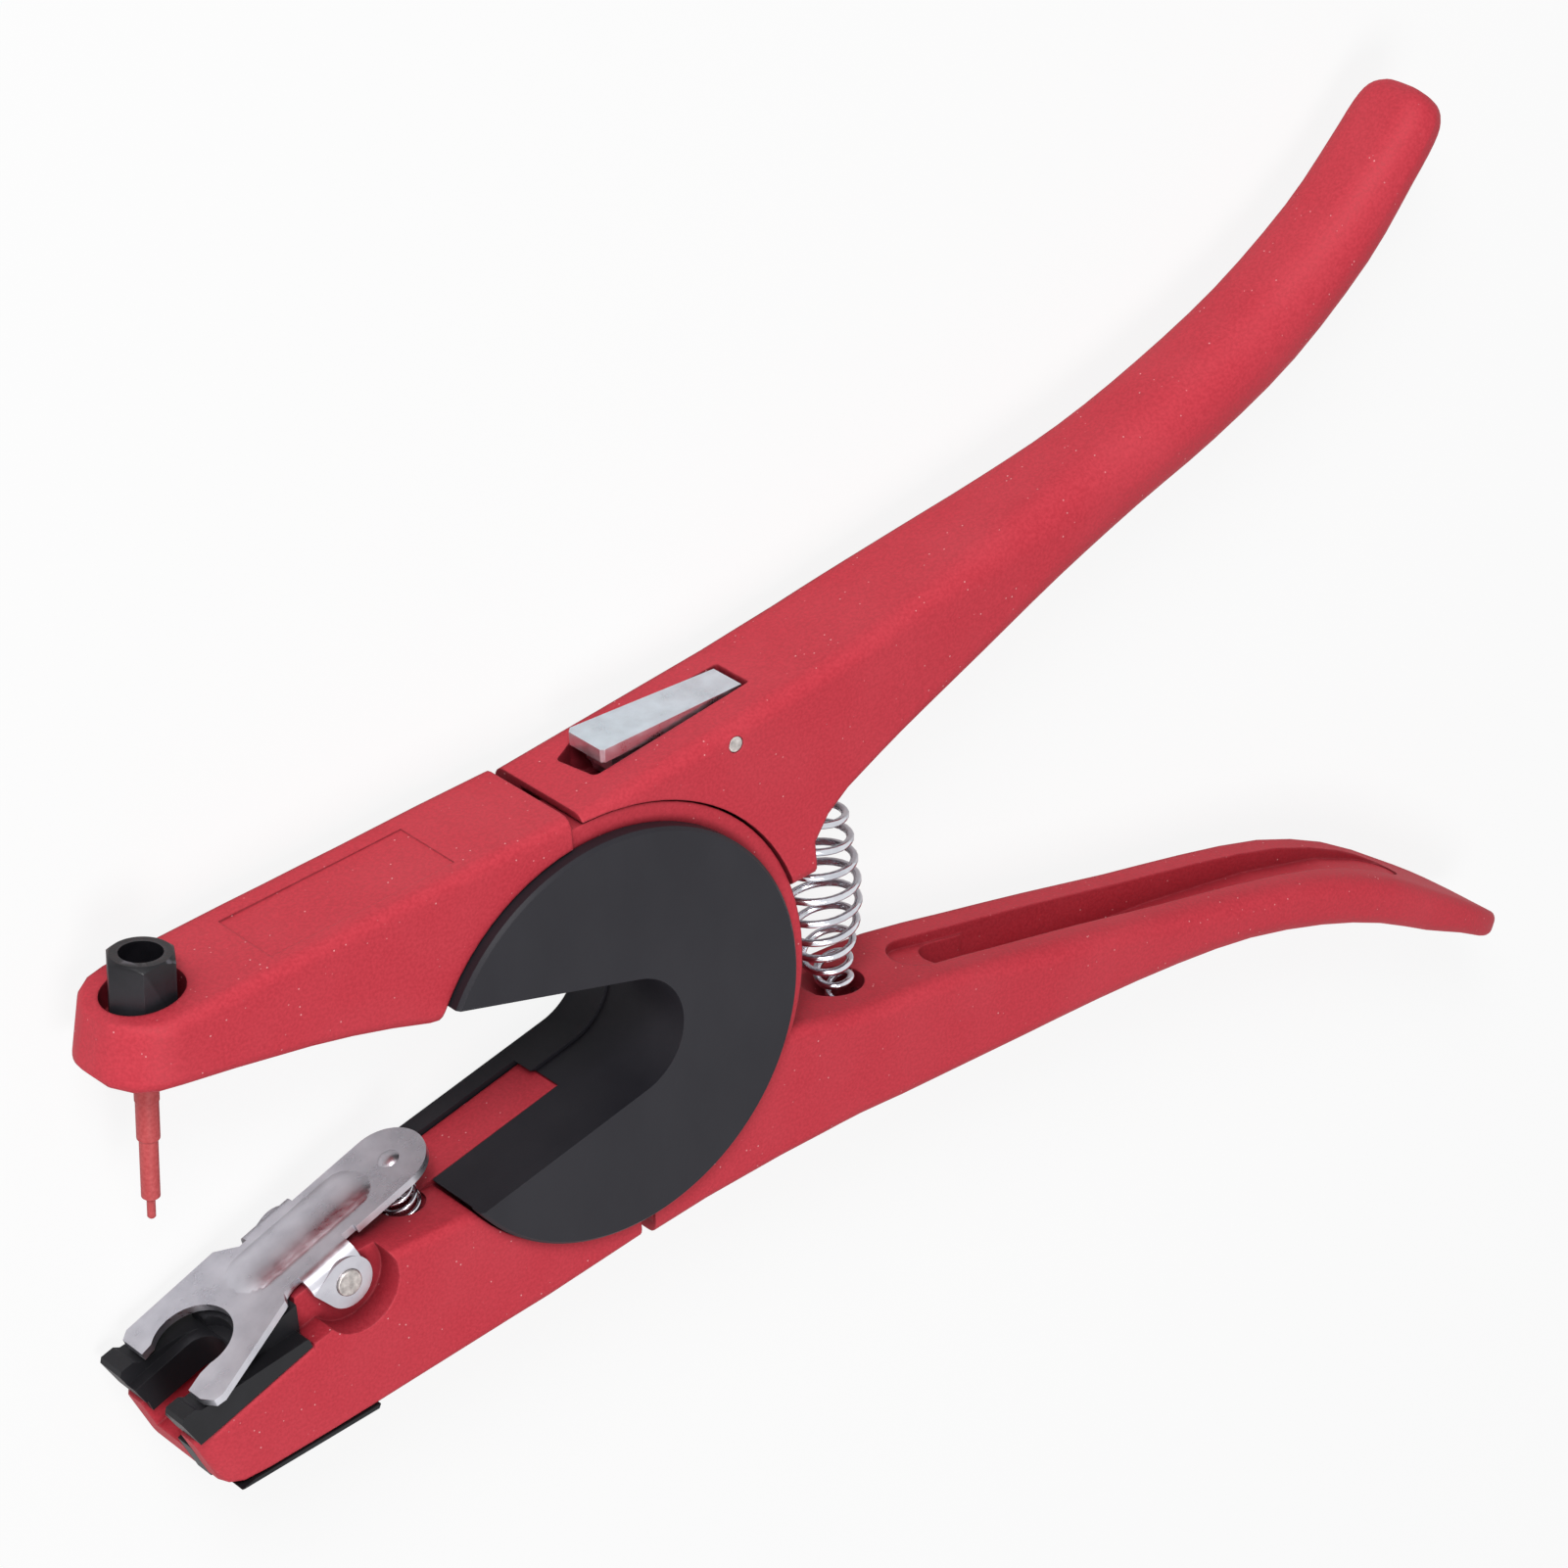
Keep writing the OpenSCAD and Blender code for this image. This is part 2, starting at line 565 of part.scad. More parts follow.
// Countersunk screws from the back, in the middle of the thick lining
cover_screw_x = [2.1 - boss_r, 10 - hub_r];
screw_len = 15;
head_r = 2.4;
head_h = 1.4;
module cover_screw_at(x) {
  run = (wall_up(screw_lining_t / 2)[0] - x) / cos(throat_angle);
  translate([x, wall_up(screw_lining_t / 2)[1] + run * sin(throat_angle), -front_z]) children();
}
module screw_head(grow) rotate_extrude($fn = 48)
  polygon([[0, 0], [head_r + grow, 0], [cover_screw_d / 2 + grow, head_h], [0, head_h]]);
module cover_screws() color(steel) upright() for (x = cover_screw_x) cover_screw_at(x) difference() {
  union() {
    cylinder(r = cover_screw_d / 2 - press_gap, h = screw_len, $fn = 32);
    screw_head(0);
  }
  for (a = [0, 90]) rotate([0, 0, a]) translate([-1.5, -0.25, -1]) cube([3, 0.5, 1.7]);
}

// Turned pin: thread, collar, shank, working length and piercing tip in one
thread_top = nut_floor + 3.5;
module applicator_pin() color(red) upright() pin_frame() rotate_extrude($fn = 64) polygon([
  [0, thread_top], [thread_d / 2, thread_top], [thread_d / 2, pin_seat], [collar_d / 2, pin_seat],
  [collar_d / 2, pin_seat - collar_len], [shank_d / 2, pin_seat - collar_len - 0.1],
  [shank_d / 2, pin_seat - collar_len - shank_len + 0.3],
  [stud_d / 2, pin_seat - collar_len - shank_len], [stud_d / 2, stud_end + 0.4], [stud_d / 2 - 0.5, stud_end],
  [tip_d / 2, stud_end], [tip_d / 2, stud_end - tip_len + 0.3], [tip_d / 2 - 0.3, stud_end - tip_len],
  [0, stud_end - tip_len]]);
stud_end = pin_seat - collar_len - shank_len - stud_len;

// Hexagonal sleeve nut with chamfered ends, open at the top
nut_top = jaw_top_at_pin + nut_rise;
module pin_nut() color(satin_black) upright() pin_frame() difference() {
  intersection() {
    translate([0, 0, nut_floor]) cylinder(r = nut_af / 2 / cos(30), h = nut_top - nut_floor, $fn = 6);
    translate([0, 0, nut_floor]) rotate_extrude($fn = 64) polygon([
      [0, 0], [nut_af / 2 + 1, 0], [nut_af / 2 + 1, nut_top - nut_floor - 1],
      [nut_af / 2 - 0.2, nut_top - nut_floor], [0, nut_top - nut_floor]]);
  }
  translate([0, 0, nut_floor - 1]) cylinder(r = thread_d / 2 + press_gap, h = 20, $fn = 48);
  translate([0, 0, thread_top + 0.5]) cylinder(r = nut_bore / 2, h = 20, $fn = 64);
}

// Latch: a wedge plate on a rough stem, with a pawl under its free end
module latch_lever() color(bright_steel) upright() latch_frame() difference() {
  union() {
    difference() {
      translate([0, 0, latch_z]) rotate([-90, 0, 0]) linear_extrude(8) polygon([
        [-latch_run, 0.5 - latch_w / 2], [-latch_run, latch_w / 2 - 0.8], [-latch_run + 0.8, latch_w / 2],
        [6.9, 2.4], [6.9, -3.7], [-latch_run + 0.5, -latch_w / 2]]);
      slab(-w, w) polygon([[-20, -5], [10, -5], [10, plate_top + 0.3 - latch_t],
                           [-20, plate_top - 0.7 - latch_t]]);
      slab(-w, w) polygon([[-20, plate_top - 0.7], [10, plate_top + 0.3], [10, 12], [-20, 12]]);
    }
    slab(-3.4, 2.4) polygon([[-15.6, plate_top - 1.5], [-15.6, -1.4], [-11.5, -1.9], [-3, -2.6], [3, -2.6],
                             [5.6, 0], [5.8, plate_top - 1]]);
    slab(middle_ring_bottom + 0.25, middle_ring_top - 0.15)
      polygon([[-15, -1], [-14.2, -3.7], [-11.8, -3.9], [-10.6, -1]]);
  }
  translate([0, 0, -w]) cylinder(r = latch_pin_d / 2 + bore_gap, h = lever_t, $fn = 48);
  latch_spring_at() translate([0, 0, -2])
    cylinder(r = latch_spring_r + small_wire / 2 + 0.3, h = latch_spring_len + 2.3, $fn = 48);
}
plate_top = 3.8;
latch_spring_r = 1.6;
latch_spring_len = 3.2;
module latch_spring_at() translate([-6.2, pocket_floor, -0.4]) rotate([-90, 0, 0]) children();
module latch_pin() color(steel) upright() latch_frame() translate([0, 0, -w + 0.1])
  cylinder(r = latch_pin_d / 2, h = lever_t - 0.2, $fn = 48);

// Straight helix of n turns, from height 0 to len
function helix(r, len, n, steps) = [for (i = [0:n * steps]) let (a = 360 * i / steps)
  [r * cos(a), r * sin(a), len * i / (n * steps)]];
module latch_spring() color(steel) upright() latch_frame() latch_spring_at()
  translate([0, 0, small_wire / 2])
    wire(helix(latch_spring_r, latch_spring_len - small_wire, 3, 12), small_wire / 2, 6);

// Black insert: prongs on the sloping seat, a raised block under the clip, and a liner in the channel
prong_w = w - 0.1;
prong_len = 21.5;
block_w = 7;
liner_drop = 1.8;
module jaw_insert() color(satin_black) upright() difference() {
  union() {
    seat_frame() slab(-prong_w, prong_w) polygon([
      [0.9 - prong_len, seat_gap], [-prong_len, 5.1], [0.5 - prong_len, 5.8], [2.6 - prong_len, 5.7],
      [3.4 - prong_len, 4.9], [-0.6, 1.7], [-0.4, 1.4], [-0.4, seat_gap]]);
    seat_frame() slab(-block_w, block_w) polygon([[-8.2, seat_gap], [-7.8, 4.7], [-7.2, 5.2], [1.3, 5.2],
                                                  [-0.4, seat_gap]]);
    along_channel(-liner_drop, 1) intersection() {
      channel_outline(channel_hw - seat_gap);
      translate([-8.6, -10]) square(20);
    }
  }
  along_channel(-10, 3.2) channel_outline(channel_hw - 1.2);
  along_channel(3.2, 30) channel_outline(channel_hw + 0.6);
}

// Black sole plate under the nose with a tongue up over it, held by one screw from below
sole_t = 0.7;
sole_front = 15;
sole_back = 8.6;
sole_slope = atan(0.1);
module sole_frame() low_side() translate([-52, -41.9, 0]) rotate([0, 0, sole_slope]) children();
module sole_plate() color(satin_black) upright() difference() {
  union() {
    sole_frame() slab(-prong_w, prong_w)
      polygon([[-sole_front, -0.6], [2.4 - sole_front, -seat_gap], [sole_back, -seat_gap],
               [sole_back - 0.4, -sole_t], [0.4 - sole_front, -sole_t]]);
    tongue();
  }
  sole_frame() translate([screw_run, -5, 0]) rotate([-90, 0, 0]) cylinder(r = screw_r + 0.1, h = 10, $fn = 32);
}
screw_run = 4;
screw_r = 1.25;
module insert_screw_hole() sole_frame() translate([screw_run, -1, 0]) rotate([-90, 0, 0])
  cylinder(r = screw_r + press_gap, h = 8.5, $fn = 32);
module insert_screw() color(steel) upright() sole_frame() translate([screw_run, -sole_t - 1.25, 0])
  rotate([-90, 0, 0]) difference() {
    union() {
      cylinder(r = screw_r, h = 9, $fn = 32);
      cylinder(r = 2.6, h = 1.2, $fn = 48);
    }
    for (a = [0, 90]) rotate([0, 0, a]) translate([-1.5, -0.25, -1]) cube([3, 0.5, 1.7]);
  }

// Stamped spring-steel clip: forked nose, pressed bead, round tail and two ears bent down to the pin
sheet_top = 4.7;
bend_r = 2.4;
body_hw = ear_span / 2 - bend_r;    // half width of the sheet between its two bends
ear_w = 8.4;
ear_x = -5.2;                       // the ear's end towards the nose
tail_x = 15.5;
fork_x = -20.9;
module clip_outline() difference() {
  union() {
    polygon([[-26.8, -8.6], [-25.4, -9.6], [-9.4, -10], [-8, -8.8], [-6.5, clip_z - body_hw],
             [-6.5, clip_z + body_hw], [-8.2, 5.4], [-8.9, 6.6], [-24.4, 12.2], [-25.8, 12], [-26.8, 10]]);
    translate([-7, clip_z - body_hw]) square([tail_x + 7, 2 * body_hw]);
    translate([tail_x, clip_z]) circle(body_hw, $fn = 96);
  }
  translate([fork_x, 0.2]) circle(fork_r, $fn = 64);
  polygon([[-30, -3.4], [-24, -4.4], [fork_x, -5], [fork_x, 6], [-24, 6.3], [-26.6, 7.2], [-30, 7.4]]);
  // relief at the tail end of the near bend
  translate([ear_x + ear_w, clip_z + body_hw - 0.7]) square([2.2, 2]);
}
module ear_outline() hull() {
  circle(3.9, $fn = 48);
  translate([ear_x, sheet_top - bend_r - 0.01]) square([ear_w, 0.01]);
}
// Pressed bead with round ends: the crown of a large cylinder and of two spheres
bead_x = [-12.2, 12.4];
bead_hw = 4.5;
bead_rise = 1.1;
bead_r = (bead_hw * bead_hw + bead_rise * bead_rise) / (2 * bead_rise);
module above(y) translate([-far / 2, y, -far / 2]) cube([far, 5, far]);
module bead(r, from) intersection() {
  translate([bead_x[0] + bead_hw, sheet_top + bead_rise - bead_r, clip_z - 0.6]) {
    sphere(r, $fn = 96);
    rotate([0, 90, 0]) cylinder(r = r, h = bead_x[1] - bead_x[0] - 2 * bead_hw, $fn = 96);
    translate([bead_x[1] - bead_x[0] - 2 * bead_hw, 0, 0]) sphere(r, $fn = 96);
  }
  above(from);
}
// Small pressed dimple in the tail over the spring
dimple_r = 2.4;
dimple_rise = 0.6;
module dimple(r, from) intersection() {
  translate([tail_x + 0.6, sheet_top + dimple_rise - dimple_r, clip_z + 0.2]) sphere(r, $fn = 48);
  above(from);
}
module tag_clip() color(steel) upright() clip_frame() difference() {
  union() {
    translate([0, sheet_top, 0]) rotate([90, 0, 0]) linear_extrude(clip_t) clip_outline();
    bead(bead_r, sheet_top - clip_t / 2);
    dimple(dimple_r, sheet_top - clip_t / 2);
    for (side = [-1, 1]) {
      translate([0, 0, clip_z + side * (ear_span - clip_t) / 2]) slab(-clip_t / 2, clip_t / 2) ear_outline();
      translate([ear_x, sheet_top - bend_r, clip_z + side * body_hw]) rotate([0, 90, 0])
        linear_extrude(ear_w) intersection() {
          difference() {
            circle(bend_r, $fn = 64);
            circle(bend_r - clip_t, $fn = 64);
          }
          translate([side > 0 ? -bend_r : 0, 0]) square(bend_r);
        }
    }
  }
  bead(bead_r - clip_t, sheet_top - clip_t - 0.02);
  dimple(dimple_r - clip_t, sheet_top - clip_t - 0.02);
  translate([0, 0, -lever_t]) cylinder(r = clip_pin_d / 2 + bore_gap, h = 2 * lever_t, $fn = 64);
}
module clip_pin() color(bright_steel) upright() clip_at() translate([0, 0, clip_z - ear_span / 2 - 0.2])
  cylinder(r = clip_pin_d / 2, h = ear_span + 0.6, $fn = 64);
clip_spring_len = sheet_top - clip_t - clip_spring_foot - 0.1;
module clip_spring() color(bright_steel) upright() clip_frame()
  translate([clip_spring_x, clip_spring_foot + small_wire / 2, clip_spring_z]) rotate([-90, 0, 0])
    wire(helix(clip_spring_r, clip_spring_len - small_wire, 4, 12), small_wire / 2, 6);

// Barrel-shaped main spring, bowed away from the hub
function bow_at(t) = (1 - t) * (1 - t) * main_foot + 2 * t * (1 - t) * main_bow + t * t * main_head;
function bow_dir(t) = unit((1 - t) * (main_bow - main_foot) + t * (main_head - main_bow));
function barrel(t) = main_end_r + (main_coil_r - main_end_r) * pow(sin(180 * t), 0.8);
main_steps = 12;
module main_spring() color(bright_steel) upright() wire([for (i = [0:main_turns * main_steps])
    let (t = i / (main_turns * main_steps), a = 360 * i / main_steps,
         c = bow_at(t), d = bow_dir(t), r = barrel(t))
    [c[0] + r * cos(a) * d[1], c[1] - r * cos(a) * d[0], r * sin(a)]], main_wire / 2, 6);

// Return spring of the jaw, coiled along an arc inside the hub
return_coil_r = 2.6;
return_z = 3.7;
// From the hub axis to the inner face of the lower lining, which the spring's fixed end rests on
lining_reach = throat_x * sin(throat_angle) + throat_drop * cos(throat_angle) + throat_r + lining_t;
arc_from = throat_angle - 180 + asin((lining_reach + 0.3) / (spring_arc_r - return_coil_r - return_wire / 2));
arc_to = lug_angle - 5.5;
return_steps = 12;
module return_spring() color(steel) upright() wire([for (i = [0:return_turns * return_steps])
    let (t = i / (return_turns * return_steps), a = 360 * i / return_steps,
         g = arc_from + (arc_to - arc_from) * t,
         r = spring_arc_r + return_coil_r * cos(a))
    [r * cos(g), r * sin(g), return_z + return_coil_r * sin(a)]], return_wire / 2, 6);

fixed_lever();
upper_handle();
lower_jaw();
front_cover();
back_cover();
cover_screws();
applicator_pin();
pin_nut();
latch_lever();
latch_pin();
latch_spring();
jaw_insert();
sole_plate();
insert_screw();
tag_clip();
clip_pin();
clip_spring();
main_spring();
return_spring();
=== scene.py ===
# %% [markdown]
# An ear tag applicator is a cast hand plier. Three red levers turn about one hub, two black covers close
# the hub, and small steel pieces do the fine work: a latch, a tag clip, pins and springs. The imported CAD
# model gives every piece its place and size. This lesson dresses it: it shades each casting softly, gives
# the small pieces a narrow bevel, winds the springs as round wire and builds a finish for every surface.

# %% Load the fixed frame
import math
import json
import bpy
from mathutils import Matrix, Vector


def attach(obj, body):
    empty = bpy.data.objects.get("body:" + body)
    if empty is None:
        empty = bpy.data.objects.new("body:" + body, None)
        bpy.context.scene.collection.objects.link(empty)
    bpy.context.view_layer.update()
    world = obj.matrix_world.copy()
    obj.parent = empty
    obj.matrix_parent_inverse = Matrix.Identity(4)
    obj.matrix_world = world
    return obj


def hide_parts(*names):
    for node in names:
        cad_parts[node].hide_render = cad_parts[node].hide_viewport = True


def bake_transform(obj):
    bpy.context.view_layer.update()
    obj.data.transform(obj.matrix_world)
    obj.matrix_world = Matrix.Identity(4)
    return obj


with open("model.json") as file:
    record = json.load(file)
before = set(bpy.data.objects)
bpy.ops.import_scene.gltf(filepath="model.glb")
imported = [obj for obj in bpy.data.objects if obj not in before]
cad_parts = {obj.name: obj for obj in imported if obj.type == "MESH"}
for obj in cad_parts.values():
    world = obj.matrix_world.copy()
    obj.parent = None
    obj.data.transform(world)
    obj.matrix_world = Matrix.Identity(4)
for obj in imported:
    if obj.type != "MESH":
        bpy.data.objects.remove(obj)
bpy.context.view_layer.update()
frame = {"nodes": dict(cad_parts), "record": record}
nodes = frame["nodes"]
scene = bpy.context.scene

# %% [markdown]
# The camera comes first, because everything is judged through it. A product shot from most of a metre away
# needs a long lens, so the tool keeps its true proportions. The three vectors are the picture's right, its
# up and the way back to the camera. Writing them as a matrix is exact, where aiming by hand would drift.

# %% Camera at the photograph's angle
MM = 0.001
IMAGE_PX = 1601
FOCAL_PX = 6000
CAMERA_MM = Vector((-399.0, 425.8, 579.7))
right = Vector((0.7742, -0.0467, 0.6312))
up = Vector((0.3432, 0.8689, -0.3567))
back = Vector((-0.5318, 0.4928, 0.6887))

cam_data = bpy.data.cameras.new("camera")
cam_data.sensor_width = 36
cam_data.lens = FOCAL_PX / IMAGE_PX * cam_data.sensor_width
cam_data.clip_start, cam_data.clip_end = 0.05, 20
camera = bpy.data.objects.new("camera", cam_data)
scene.collection.objects.link(camera)
turn = Matrix((right, up, back)).transposed()
camera.matrix_world = Matrix.Translation(CAMERA_MM * MM) @ turn.to_4x4()
scene.camera = camera
print("lens", round(cam_data.lens, 1), "mm at", [round(v, 3) for v in camera.location])

# %% [markdown]
# The light is that of a catalogue picture: a white room, one large soft lamp beyond the upper handle and a
# weaker one in front. Each lamp is a disc that faces the tool, and its size is what makes shadows soft.

# %% Two soft lamps
def soft_lamp(name, place, size, watts):
    """A disc lamp of this diameter in metres, turned towards the tool."""
    data = bpy.data.lights.new(name, "AREA")
    data.shape = "DISK"
    data.size = size
    data.energy = watts
    lamp = bpy.data.objects.new(name, data)
    scene.collection.objects.link(lamp)
    lamp.location = place
    lamp.rotation_mode = "QUATERNION"
    lamp.rotation_quaternion = Vector(place).to_track_quat("Z", "Y")


soft_lamp("key_lamp", place=(-0.7, 1.3, 0.9), size=0.7, watts=17)
soft_lamp("front_lamp", place=(-0.6, -0.2, 1.6), size=0.8, watts=13)
print("two lamps")

# %% [markdown]
# The room is white where the camera or a mirroring surface looks at it, and dim where it only lights the
# tool, so the background is white without flooding the tool with light. Light Path tells the two apart.
# The same trick lifts the pale floor to white for the camera, and what is left of its own shading is the
# soft shadow under the tool.

# %% Helpers for shader nodes
def combine(tree, kind, a, b):
    """One Math node. a and b are numbers or other nodes' outputs."""
    node = tree.nodes.new("ShaderNodeMath")
    node.operation = kind
    for socket, value in zip(node.inputs, (a, b)):
        if isinstance(value, float):
            socket.default_value = value
        else:
            tree.links.new(value, socket)
    return node.outputs[0]


def mix_shaders(tree, amount, shader_a, shader_b):
    """Shader a where amount is 0 and shader b where it is 1."""
    mix = tree.nodes.new("ShaderNodeMixShader")
    for socket, output in zip(mix.inputs, (amount, shader_a, shader_b)):
        tree.links.new(output, socket)
    return mix.outputs[0]


def background(tree, colour, strength):
    node = tree.nodes.new("ShaderNodeBackground")
    node.inputs["Color"].default_value = colour
    node.inputs["Strength"].default_value = strength
    return node.outputs[0]


print("shader node helpers ready")

# %% The white room
world = bpy.data.worlds.new("white_room")
scene.world = world
world.use_nodes = True
room = world.node_tree
room.nodes.clear()
rays = room.nodes.new("ShaderNodeLightPath").outputs
seen = combine(room, "MAXIMUM", rays["Is Camera Ray"], rays["Is Glossy Ray"])
seen = combine(room, "MAXIMUM", seen, rays["Is Transmission Ray"])
dim = background(room, (0.98, 0.99, 1.0, 1), strength=0.22)
white = background(room, (1, 1, 1, 1), strength=1.0)
room_out = room.nodes.new("ShaderNodeOutputWorld")
room.links.new(mix_shaders(room, seen, dim, white), room_out.inputs["Surface"])
scene.view_settings.view_transform = "Standard"
print("room of", len(room.nodes), "shader nodes")

# %% The floor
FLOOR_SIZE = 8
FLOOR_DROP_MM = 0.3      # keeps the floor clear of the back cover that rests on it
PAPER_GREY = 0.86
PAPER_LIFT = 0.86        # how far the camera sees the floor lifted to white

bpy.ops.object.select_all(action="DESELECT")
bpy.ops.mesh.primitive_plane_add(size=FLOOR_SIZE, location=(0, 0, -FLOOR_DROP_MM * MM))
floor = bpy.context.active_object
floor.name = "floor"

paper = bpy.data.materials.new("pale_paper")
paper.use_nodes = True
tree = paper.node_tree
sheet = tree.nodes["Principled BSDF"]
sheet.inputs["Base Color"].default_value = (PAPER_GREY, PAPER_GREY, PAPER_GREY, 1)
sheet.inputs["Roughness"].default_value = 0.9
sheet.inputs["Specular IOR Level"].default_value = 0.0
glow = tree.nodes.new("ShaderNodeEmission")
glow.inputs["Color"].default_value = (1, 1, 1, 1)
rays = tree.nodes.new("ShaderNodeLightPath").outputs
lifted = combine(tree, "MULTIPLY", rays["Is Camera Ray"], PAPER_LIFT)
paper_out = tree.nodes["Material Output"]
tree.links.new(mix_shaders(tree, lifted, sheet.outputs[0], glow.outputs[0]), paper_out.inputs["Surface"])
floor.data.materials.append(paper)
print("floor", FLOOR_SIZE, "m wide")

# %% [markdown]
# Each finish is a small node tree. They share a few habits, so those become helpers: a noise whose grain is
# given as a real size in millimetres, a blend between two colours that follows such a noise, and a bump.
# Object coordinates are used throughout, because each finished piece sits at the origin in true size.

# %% Helpers: colours and a plain finish
def srgb(r, g, b):
    """A colour as an eye-dropper reads it, 0 to 255, turned into the linear colour that a shader takes."""
    def linear(c):
        c = c / 255
        return c / 12.92 if c <= 0.04045 else ((c + 0.055) / 1.055) ** 2.4
    return (linear(r), linear(g), linear(b), 1)


def new_finish(name, colour, rough, metal=0.0, level=0.5):
    """A material with one plain shader. level is the strength of its clear reflection."""
    finish = bpy.data.materials.new(name)
    finish.use_nodes = True
    shader = finish.node_tree.nodes["Principled BSDF"]
    shader.inputs["Base Color"].default_value = colour
    shader.inputs["Roughness"].default_value = rough
    shader.inputs["Metallic"].default_value = metal
    shader.inputs["Specular IOR Level"].default_value = level
    return finish, finish.node_tree, shader


print("a red of 204 is", round(srgb(204, 0, 0)[0], 3), "to a shader")

# %% Helpers: noise, blends and relief
def grain(tree, size_mm, detail=2.0, stretch=(1, 1, 1)):
    """Noise whose grains are about size_mm wide. A stretch below 1 draws them out along that axis."""
    place = tree.nodes.new("ShaderNodeTexCoord")
    mapping = tree.nodes.new("ShaderNodeMapping")
    mapping.inputs["Scale"].default_value = stretch
    noise = tree.nodes.new("ShaderNodeTexNoise")
    noise.inputs["Scale"].default_value = 1 / (size_mm * MM)
    noise.inputs["Detail"].default_value = detail
    tree.links.new(place.outputs["Object"], mapping.inputs["Vector"])
    tree.links.new(mapping.outputs[0], noise.inputs["Vector"])
    return noise.outputs["Fac"]


def ramp(tree, value, low, high, out_low=0.0, out_high=1.0):
    """Stretches value from low..high to out_low..out_high, and holds it inside them."""
    node = tree.nodes.new("ShaderNodeMapRange")
    for socket, number in zip(node.inputs[1:5], (low, high, out_low, out_high)):
        socket.default_value = number
    tree.links.new(value, node.inputs[0])
    return node.outputs[0]


def tint(tree, amount, colour_a, colour_b):
    """Colour a where amount is 0 and b where it is 1. Either may be a colour or another node's output."""
    mix = tree.nodes.new("ShaderNodeMix")
    mix.data_type = "RGBA"
    tree.links.new(amount, mix.inputs["Factor"])
    for socket, colour in ((mix.inputs[6], colour_a), (mix.inputs[7], colour_b)):
        if isinstance(colour, tuple):
            socket.default_value = colour
        else:
            tree.links.new(colour, socket)
    return mix.outputs[2]


def bump(tree, shader, height, depth_mm, before=None):
    """Relief of this depth on the shader, on top of the normal that before gives."""
    node = tree.nodes.new("ShaderNodeBump")
    node.inputs["Strength"].default_value = 1.0
    node.inputs["Distance"].default_value = depth_mm * MM
    tree.links.new(height, node.inputs["Height"])
    if before is not None:
        tree.links.new(before, node.inputs["Normal"])
    tree.links.new(node.outputs[0], shader.inputs["Normal"])


print("noise, blend and relief helpers ready")

# %% [markdown]
# The levers are aluminium castings in a matt red powder coat. Powder that melts in the oven leaves a fine
# pebbled skin and a slightly uneven red. Grooves and corners are darkened with painted shade, which an
# ambient occlusion node finds by looking round each point. A casting has no sharp edge either: a bevel node
# turns the normal near an edge as if it were rounded, and where it turns most the coat is worn a little
# paler.

# %% Red powder coat: skin, painted shade in grooves, and edges
RED = srgb(204, 58, 72)
RED_DEEP = srgb(188, 47, 61)
RED_WORN = srgb(219, 92, 102)
# painted shade: the dark red below goes into grooves and corners, as far round a point as the reach below
RED_PAINTED_SHADE = srgb(120, 24, 36)
PEBBLE_MM, PATCH_MM = 0.45, 14
PAINTED_SHADE_REACH_MM = 7
EDGE_MM = 0.5            # radius that tumbling and the coat give an edge
EDGE_WEAR, WEAR_PATCH_MM = 0.3, 1.6
NODE_SAMPLES = 8         # rays of the two nodes that look round a point

red_coat, tree, shader = new_finish("red_powder_coat", RED, rough=0.62, level=0.32)
pebbles = grain(tree, PEBBLE_MM, detail=3)
colour = tint(tree, ramp(tree, pebbles, 0.35, 0.65), RED_DEEP, RED)
colour = tint(tree, ramp(tree, grain(tree, PATCH_MM), 0.4, 0.75, 0.0, 0.12), colour, RED_WORN)

# painted shade: ambient occlusion darkens the red in grooves and corners, where shade falls
painted_shade_probe = tree.nodes.new("ShaderNodeAmbientOcclusion")
painted_shade_probe.samples = NODE_SAMPLES
painted_shade_probe.inputs["Distance"].default_value = PAINTED_SHADE_REACH_MM * MM
colour = tint(tree, ramp(tree, painted_shade_probe.outputs["AO"], 0.25, 0.85), RED_PAINTED_SHADE, colour)

soft_edge = tree.nodes.new("ShaderNodeBevel")
soft_edge.samples = NODE_SAMPLES
soft_edge.inputs["Radius"].default_value = EDGE_MM * MM
agree = tree.nodes.new("ShaderNodeVectorMath")
agree.operation = "DOT_PRODUCT"
tree.links.new(soft_edge.outputs[0], agree.inputs[0])
tree.links.new(tree.nodes.new("ShaderNodeNewGeometry").outputs["Normal"], agree.inputs[1])
worn = combine(tree, "MULTIPLY", ramp(tree, agree.outputs["Value"], 0.80, 0.97, 1.0, 0.0),
               ramp(tree, grain(tree, WEAR_PATCH_MM, detail=3), 0.4, 0.7))
colour = tint(tree, combine(tree, "MULTIPLY", worn, EDGE_WEAR), colour, RED_WORN)
print("made the skin of", red_coat.name, "with edges of", EDGE_MM, "mm")

# %% [markdown]
# Here and there a pale speck shows where dust or a scuff broke the coat. The specks are cells of a Voronoi
# pattern whose middle is cut out as a tiny dot, and a coarser noise keeps most of them away, so they come
# in loose groups as on the real tool.

# %% Red powder coat: specks
SPECK = srgb(244, 188, 190)
SPECK_CELL_MM, SPECK_GROUP_MM = 1.35, 4
SPECK_STRENGTH = 0.75

